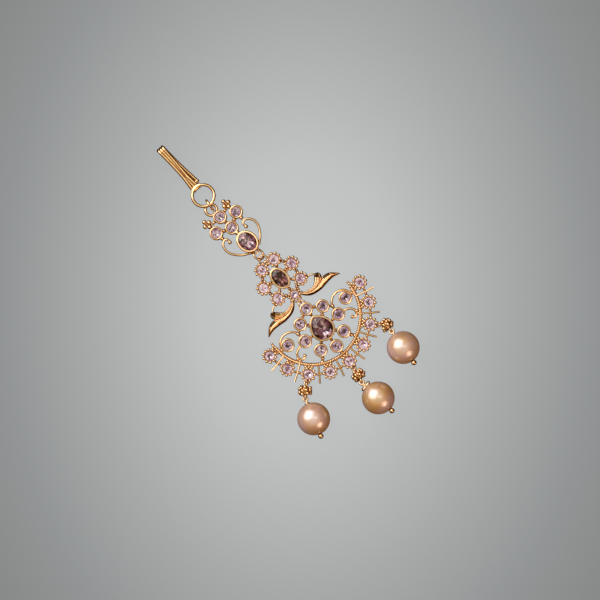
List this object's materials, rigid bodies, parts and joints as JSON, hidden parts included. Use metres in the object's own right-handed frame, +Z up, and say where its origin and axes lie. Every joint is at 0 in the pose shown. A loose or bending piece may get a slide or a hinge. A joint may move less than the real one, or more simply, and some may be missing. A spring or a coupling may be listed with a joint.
{
  "type": "maang tikka",
  "caption": "Gold-plated head ornament lying flat: a hair hook, three linked stone-set ornaments and a fan edge with pearl drops.",
  "frame": {"origin": "middle of the whole object's footprint, at the level it lies on", "axes": "+Y along the object from the pearls towards the hook, +Z up from its back through the stones, +X to the wearer's left"},
  "size_m": [0.0314, 0.0754, 0.007],
  "materials": {
    "gold_plate": "warm rose-gold plate on cast brass, bright on raised beads and rims, darkened between them",
    "lavender_stone": "foil-backed lavender glass, faceted and polished",
    "pearl": "champagne imitation pearl with a soft lustre"
  },
  "bodies": {
    "root": {"hook": "gold_plate", "hook_ring": "gold_plate", "jump_ring_top": "gold_plate", "top_frame": "gold_plate", "jump_ring_mid": "gold_plate", "flower_frame": "gold_plate", "jump_ring_low": "gold_plate", "fan_frame": "gold_plate", "top_stone_1": "lavender_stone", "top_stone_2": "lavender_stone", "top_stone_3": "lavender_stone", "top_stone_4": "lavender_stone", "top_oval_stone": "lavender_stone", "petal_stone_1": "lavender_stone", "petal_stone_2": "lavender_stone", "petal_stone_3": "lavender_stone", "petal_stone_4": "lavender_stone", "petal_stone_5": "lavender_stone", "petal_stone_6": "lavender_stone", "petal_stone_7": "lavender_stone", "flower_oval_stone": "lavender_stone", "pear_stone": "lavender_stone", "fan_inner_stone_1": "lavender_stone", "fan_inner_stone_2": "lavender_stone", "fan_inner_stone_3": "lavender_stone", "fan_inner_stone_4": "lavender_stone", "fan_inner_stone_5": "lavender_stone", "fan_inner_stone_6": "lavender_stone", "fan_inner_stone_7": "lavender_stone", "fan_inner_stone_8": "lavender_stone", "fan_inner_stone_9": "lavender_stone", "fan_inner_stone_10": "lavender_stone", "fan_outer_stone_1": "lavender_stone", "fan_outer_stone_2": "lavender_stone", "fan_outer_stone_3": "lavender_stone", "fan_outer_stone_4": "lavender_stone", "fan_outer_stone_5": "lavender_stone", "fan_outer_stone_6": "lavender_stone", "fan_outer_stone_7": "lavender_stone", "fan_outer_stone_8": "lavender_stone", "fan_outer_stone_9": "lavender_stone", "cluster_bead_left": "gold_plate", "pearl_pin_left": "gold_plate", "pearl_left": "pearl", "cluster_bead_mid": "gold_plate", "pearl_pin_mid": "gold_plate", "pearl_mid": "pearl", "cluster_bead_right": "gold_plate", "pearl_pin_right": "gold_plate", "pearl_right": "pearl"}
  },
  "joints": []
}
